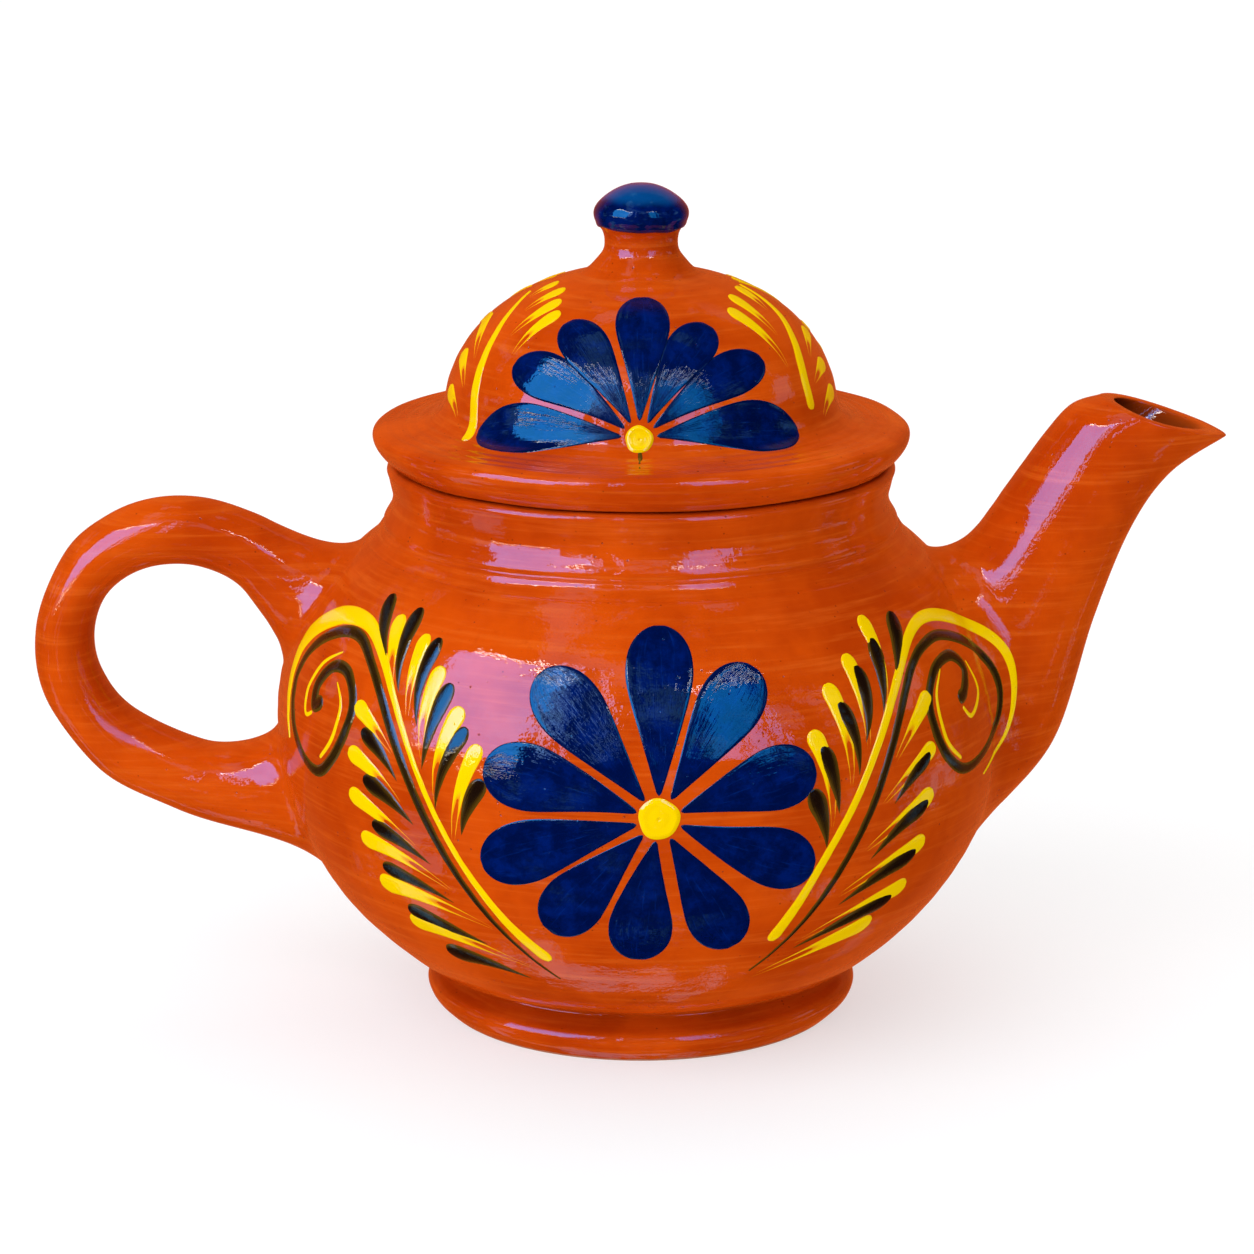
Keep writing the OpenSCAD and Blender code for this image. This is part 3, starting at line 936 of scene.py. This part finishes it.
def clayTarget(pieces):
    # one mesh of several pieces, only for a stencil to look at
    points, faces, offset = [], [], 0
    for piece in pieces:
        mesh = piece.data
        mesh.calc_loop_triangles()
        place = np.empty(len(mesh.vertices) * 3, np.float32)
        mesh.vertices.foreach_get("co", place)
        corner = np.empty(len(mesh.loop_triangles) * 3, np.int32)
        mesh.loop_triangles.foreach_get("vertices", corner)
        points.append(place.reshape(-1, 3))
        faces.append(corner.reshape(-1, 3) + offset)
        offset += len(mesh.vertices)
    mesh = bpy.data.meshes.new("target")
    mesh.from_pydata(np.vstack(points).tolist(), [], np.vstack(faces).tolist())
    made = bpy.data.objects.new("target", mesh)
    bpy.context.scene.collection.objects.link(made)
    return made


# Places on a stencil are (u, v): u to the right and v up, from the stencil's own centre.
flower = {"centre": (3.4, -21.1), "dot": 4.25, "start": 4.6, "width": 13.8,
          "petals": [(90, 38.8, 1.0), (58, 36, 0.97), (18, 33.3, 0.95), (-18, 33.4, 0.92),
                     (-60, 31, 0.92), (-98, 30, 0.95), (-134, 32.5, 0.92), (-165, 37.2, 0.95),
                     (164, 36.8, 1.0), (129, 37.8, 1.0)]}
leftSpray = {
    "turn": -42, "tilt": 8,
    "scroll": [(-22.5, 2), (-25.6, 0.6), (-26, 5), (-21.7, 9.2), (-15.7, 8.5), (-11.6, 2.2), (-14.8, -6.8),
               (-22, -13), (-29.5, -11.2), (-35.5, -4.5), (-37.8, 4.2), (-33.7, 11.1), (-25, 15.7),
               (-17.2, 16.2),
               (-10, 12), (-2.8, 5.1), (5.3, -6.6), (11.8, -18.1), (17, -28.7), (22.3, -39.4), (27.8, -49.3)],
    "scrollWidths": [3.6, 2.6, 2.8, 2.6, 2.5, 2.7, 2.3, 2.4, 2.2, 1.6, 0.5],
    "band": [(-37, -9.2), (-41.2, 3.4), (-38.9, 12.4), (-28, 18.5), (-16.5, 19), (-7.5, 14), (0, 6.3), 
             (8, -5.5), (14.4, -17), (19.6, -27.5), (24.6, -37.5), (29, -44.6)],
    "bandWidths": [0.7, 2.8, 4.6, 4.4, 3.2, 2.3, 1.7, 1.5, 1.5, 1.6, 2.2, 3.4],
    "inner": [[(-20.5, 12.4), (-26.5, 9), (-30, 3), (-29, -2), (-26, -1.2)],
              [(-19, 6.5), (-15.6, 2), (-17, -5), (-21.5, -10)]],
    "leaves": [(6, 4.6, True, [(-9.6, 3.2), (-9.4, -13.8), (-5.6, -31.3), (-0.8, -42.1)],
                [(3, -5.2), (8.3, -22.2), (20.9, -39.6), (26, -48.1)], 1),
               (6, 5.0, False, [(-6.9, -1.7), (-4.4, -17.7), (-1, -36.6), (5.1, -47.6)],
                [(3.6, -9.9), (11.6, -27.2), (17.5, -43.1), (21.7, -50.2)], 1),
               (5, 4.5, True, [(-7.9, 21.7), (7.2, 16), (22.4, -0.3)],
                [(-1.2, 7), (8.2, -2.4), (17.2, -22.8)], -1),
               (6, 5.0, False, [(-14.3, 24.7), (2.6, 21.8), (17.7, 5), (24.1, -6.2)],
                [(-5.7, 12.3), (5.8, 2.3), (14.9, -16), (19.9, -18.6)], -1)]}
rightSpray = {
    "turn": 42, "tilt": 8,
    "scroll": [(22.7, 2.3), (25.7, 3), (28.6, 7.5), (24.3, 11), (16.6, 9.1), (11.9, 2.6), (14.3, -6.5),
               (21.9, -12.4),
               (31, -11.8), (40.4, -6.5), (42.4, 2.2), (36.5, 10.5), (24.5, 15.2), (16.2, 14.5), (9.5, 11),
               (3.3, 4.2), (-2.7, -5.5), (-7.1, -14.5), (-11.3, -23.1),
               (-15.6, -32.5), (-19.6, -41), (-23.5, -48.1)],
    "scrollWidths": [3.2, 2.4, 2.8, 2.4, 2.3, 2.6, 2.2, 2.2, 2.1, 1.7, 0.5],
    "band": [(33, -16.2), (43.5, -10.5), (47, -1.2), (45.5, 8.5), (38, 15), (24, 19.4), (14, 17.6), (3.6, 9),
             (-4.9, -1.6), (-11.8, -13), (-18, -24.4), (-22.1, -36), (-23.4, -41)],
    "bandWidths": [0.6, 1.4, 1.9, 2.8, 3.0, 2.5, 2.3, 2.2, 2.0, 2.0, 2.3, 3.2],
    "inner": [[(19.1, 9.3), (14.8, 3.5), (15.9, -5), (21.5, -10.2)],
              [(30.2, 8.8), (32.4, 2.1), (27.3, -2.2), (23.9, 0.3)]],
    "leaves": [(4, 4.5, True, [(2.5, 21.4), (-5.8, 15.9), (-13.8, 10.2), (-20.3, 2.8)],
                [(-3.4, 2.5), (-8, -5.1), (-12.8, -8.6), (-16.7, -18.6)], 1),
               (6, 5.0, False, [(11, 22), (-3.2, 14.9), (-17.6, 0.7), (-21.7, -9.5)],
                [(3.1, 8.7), (-6.3, 0.6), (-15.7, -16), (-18.3, -21.5)], 1),
               (6, 5.0, True, [(12, 4.4), (10.6, -12.2), (8.6, -32), (0.4, -42.5)],
                [(-0.8, -7.1), (-8.4, -22.4), (-18.4, -43.2), (-24.3, -51.2)], -1),
               (4, 5.4, False, [(9.1, -6.9), (7.4, -26.8), (3.4, -37.2)],
                [(-1.5, -16), (-10.8, -35.3), (-17.1, -44.2)], -1)]}
lidFlower = {"centre": (-0.5, -20.8), "dot": 2.9, "start": 3.7, "width": 11.6, "tilt": 35,
             "petals": [(12.5, 34, 0.95), (39, 32.8, 0.82), (61.5, 30.3, 0.86), (89, 33.9, 0.98),
                        (118, 31.4, 0.86), (142.5, 32.4, 0.86), (168, 34.5, 0.95)]}
lidSprays = [
    {"turn": -45, "tilt": 30, "stem": [(-14, 15), (-11.3, 2.5), (-9.4, -10), (-6.8, -22)],
     "leaves": [(4, 4.2, [(-8.3, 17.7), (-5.1, 17), (3.3, 9.9)],
                 [(-11.4, 12.6), (-6.6, 3.1), (-2.7, -4)], -1),
                (3, 4.4, [(-23, 7.4), (-21.5, -2.1), (-22.5, -11.2)],
                 [(-13.6, -4.3), (-13.8, -12), (-14.3, -17.9)], 1)]},
    {"turn": 45, "tilt": 30, "stem": [(13.5, 17.5), (14.5, 7), (10.3, -6.8), (10.2, -14.8)],
     "leaves": [(3, 4.4, [(10.3, 16.9), (5.9, 15.1), (0.1, 9.9)],
                 [(11.7, 8.3), (7.7, 0.3), (6.1, -6.9)], 1),
                (3, 4.2, [(23, 3.8), (22.5, -3.3), (22.6, -10.5)],
                 [(16.2, -3.8), (14.7, -9.5), (14.3, -16.2)], -1)]}]


def flowerDot(share):
    # a raised rim, a shallow ring inside it and a small deep dimple in the middle
    return (0.42 * (1 - share ** 6) + 0.12 * np.exp(-((share - 0.8) / 0.12) ** 2)
            - 0.10 * np.exp(-((share - 0.5) / 0.16) ** 2) - 0.36 * np.exp(-(share / 0.07) ** 2))


def paintBelly(side, target, back, draw):
    def stencilAt(turn, tilt):
        return Stencil(180 - turn if back else turn, tilt, belly["greatestZ"], target, flip=back)

    front = stencilAt(0, 14.4)
    jitter = 2.0 if back else 0.0
    petals = [petalStroke(front, flower, angle + draw.normal(0, 1) * jitter,
                          length + draw.normal(0, 0.5) * jitter, flower["width"] * wide, draw.normal(0, 0.5))
              for angle, length, wide in flower["petals"]]
    joined(petals, side + "_belly_petals", "pot", cobaltPaint)
    joined([dotMesh(front, flower["centre"], flower["dot"], flowerDot)], side + "_belly_flower_dot", "pot",
           yellowPaint)
    yellows, browns = [], []
    for spray in (leftSpray, rightSpray):
        stencil = stencilAt(spray["turn"], spray["tilt"])
        browns.append(lineStroke(stencil, spray["scroll"], spray["scrollWidths"], 0.2, 260))
        yellows.append(lineStroke(stencil, spray["band"], spray["bandWidths"], 0.2, 220, 11))
        for line in spray["inner"]:
            yellows.append(lineStroke(stencil, line, [0.5, 1.2, 1.3, 1.0], 0.12, 60, 7))
        for count, width, isYellow, heads, tails, lean in spray["leaves"]:
            row = leafRow(stencil, draw, heads, tails, count, width, isYellow, lean)
            (yellows if isYellow else browns).extend(row)
    joined(yellows, side + "_belly_yellow_strokes", "pot", yellowPaint)
    joined(browns, side + "_belly_brown_strokes", "pot", brownPaint)


def paintLid(side, target, back, draw):
    def stencilAt(turn, tilt):
        return Stencil(180 - turn if back else turn, tilt, domeZ, target, flip=back, reach=46)

    front = stencilAt(0, lidFlower["tilt"])
    jitter = 1.5 if back else 0.0
    petals = [petalStroke(front, lidFlower, angle + draw.normal(0, 1) * jitter, length,
                          lidFlower["width"] * wide, draw.normal(0, 0.4))
              for angle, length, wide in lidFlower["petals"]]
    joined(petals, side + "_lid_petals", "lid", cobaltPaint)
    joined([dotMesh(front, lidFlower["centre"], lidFlower["dot"], flowerDot)], side + "_lid_flower_dot",
           "lid", yellowPaint)
    x, y = lidFlower["centre"]
    run = [(x + 0.1, y - 2.7), (x + 0.2, y - 4.4), (x, y - 6.2)]
    drop = [(x, y - 7.2), (x + 0.1, y - 8)]
    drips = [lineStroke(front, run, [1.2, 0.9, 0.5], 0.1, 24, 7),
             lineStroke(front, drop, [0.7, 0.5], 0.08, 14, 7)]
    joined(drips, side + "_lid_drips", "lid", brownPaint)
    yellows = []
    for spray in lidSprays:
        stencil = stencilAt(spray["turn"], spray["tilt"])
        yellows.append(lineStroke(stencil, spray["stem"], [0.9, 2.2, 3.0, 3.0], 0.2, 90))
        for count, width, heads, tails, lean in spray["leaves"]:
            yellows += leafRow(stencil, draw, heads, tails, count, width, True, lean)
    joined(yellows, side + "_lid_yellow_strokes", "lid", yellowPaint)


bellyTarget = clayTarget([potBody, neckCollar, footRing, spoutTube, handleLoop])
lidTarget = clayTarget([lidDome, lidKnob])
draw = np.random.default_rng(5)
for side, back in (("front", False), ("back", True)):
    paintBelly(side, bellyTarget, back, draw)
    paintLid(side, lidTarget, back, draw)
bpy.data.objects.remove(bellyTarget)
bpy.data.objects.remove(lidTarget)
makeKnobGlaze(knobOutline)
print("paint made")


def addFloor():
    half = 15
    mesh = bpy.data.meshes.new("floor")
    corners = [(-half, -half, 0), (half, -half, 0), (half, half, 0), (-half, half, 0)]
    mesh.from_pydata(corners, [], [(0, 1, 2, 3)])
    made = bpy.data.objects.new("floor", mesh)
    bpy.context.scene.collection.objects.link(made)
    look, start, places = newLook("floor_paper")
    shade = places.noise(400, 2).between(0.3, 0.7).blend(colour(0.46, 0.46, 0.46), colour(0.48, 0.48, 0.48))
    normal = places.make("Bump", {}, {"Height": places.noise(0.6, 2) * 0.01, "Distance": mm})
    shaded = start.make("BsdfPrincipled", {}, {"Base Color": shade, "Roughness": 0.9, "Normal": normal,
                                               "Emission Color": colour(1, 1, 1), "Emission Strength": 0.55})
    start.make("OutputMaterial", {}, {"Surface": shaded})
    mesh.materials.append(look)
    made.visible_glossy = False


lights = {"distance": 1.6, "aim": 0.08, "slats": [
    ("left_slat_", 33, 1.1, (1.5, 3, 6), [(-29, 0.07), (-24, 0.035), (-12, 0.03)]),
    ("right_slat_", 29, 1.2, (0.05, 1.4, 4.0), [(24, 0.1), (30, 0.2), (38, 0.16), (45, 0.05)])]}


def areaLight(name, turn, rise, size, radiance):
    # a light at an angle round from the front and up, facing the pot, that only the gloss shows;
    # radiance is what it shows there
    data = bpy.data.lights.new(name, "AREA")
    data.shape = "RECTANGLE"
    data.size, data.size_y = size
    strength = max(radiance)
    data.color = tuple(part / strength for part in radiance)
    data.energy = strength * 4 * size[0] * size[1]
    made = bpy.data.objects.new(name, data)
    a, e = math.radians(turn), math.radians(rise)
    away = np.array([math.sin(a) * math.cos(e), -math.cos(a) * math.cos(e), math.sin(e)])
    made.location = tuple(away * lights["distance"] + np.array([0, 0, lights["aim"]]))
    made.rotation_euler = (math.pi / 2 - e, 0, a)
    made.visible_camera = False
    made.visible_diffuse = False
    bpy.context.scene.collection.objects.link(made)


room = {"front": colour(0.1, 0.1, 0.1), "back": colour(1, 1, 1), "dark": colour(0, 0, 0),
        "warm": colour(0.6, 0.11, 0.025), "bright": colour(0.2, 0.55, 0.75), "patch": 0.45}


def addWorld():
    # white behind the pot, dim in front of it, and a warm room in what the glaze mirrors
    world = bpy.data.worlds.new("studio")
    bpy.context.scene.world = world
    world.use_nodes = True
    tree = world.node_tree
    tree.nodes.clear()
    start = Wire(tree)
    place = start.make("TexCoord", output=0)
    depth = place.make("SeparateXYZ", {}, {"Vector": place}, 1)
    light = depth.between(0.0, 0.8).blend(room["front"], room["back"])
    glow = depth.between(0.3, 0.9).blend(room["dark"], room["warm"])
    patches = place.noise(room["patch"], 4, 0.65).between(0.57, 0.6)
    glow = (patches * depth.between(0.7, 0.2)).blend(glow, room["bright"])
    seen = start.make("LightPath", output=0)
    gloss = start.make("LightPath", output=3)
    shade = gloss.blend(seen.blend(light, room["back"]), glow)
    back = start.make("Background", {}, {"Color": shade, "Strength": 1.0})
    start.make("OutputWorld", {}, {"Surface": back})


def sunLight(name, turn, rise, spread, strength):
    # an even light from far away that the gloss does not show; spread is the angle that it fills, in degrees
    data = bpy.data.lights.new(name, "SUN")
    data.energy = strength
    data.angle = math.radians(spread)
    made = bpy.data.objects.new(name, data)
    made.rotation_euler = (math.pi / 2 - math.radians(rise), 0, math.radians(turn))
    made.visible_glossy = False
    bpy.context.scene.collection.objects.link(made)


addFloor()
addWorld()
areaLight("left_pane", -54, 28.5, (1.1, 1.2), (0.2, 2.5, 7.0))
areaLight("left_top_rail", -52, 50.5, (0.95, 0.03), (20, 19, 18))
areaLight("left_sill", -54, 5, (1.0, 0.03), (14, 12, 9))
for name, rise, tall, radiance, slats in lights["slats"]:
    for k, (turn, wide) in enumerate(slats):
        areaLight(name + str(k), turn, rise, (wide, tall), radiance)
areaLight("right_top_rail", 34, 51, (0.6, 0.025), (14, 14, 14))
sunLight("overhead", -10, 72, 100, 1.75)
sunLight("front_fill", -38, 26, 70, 1.8)
print("floor, room and lights made")
bpy.context.scene.view_settings.view_transform = "Standard"
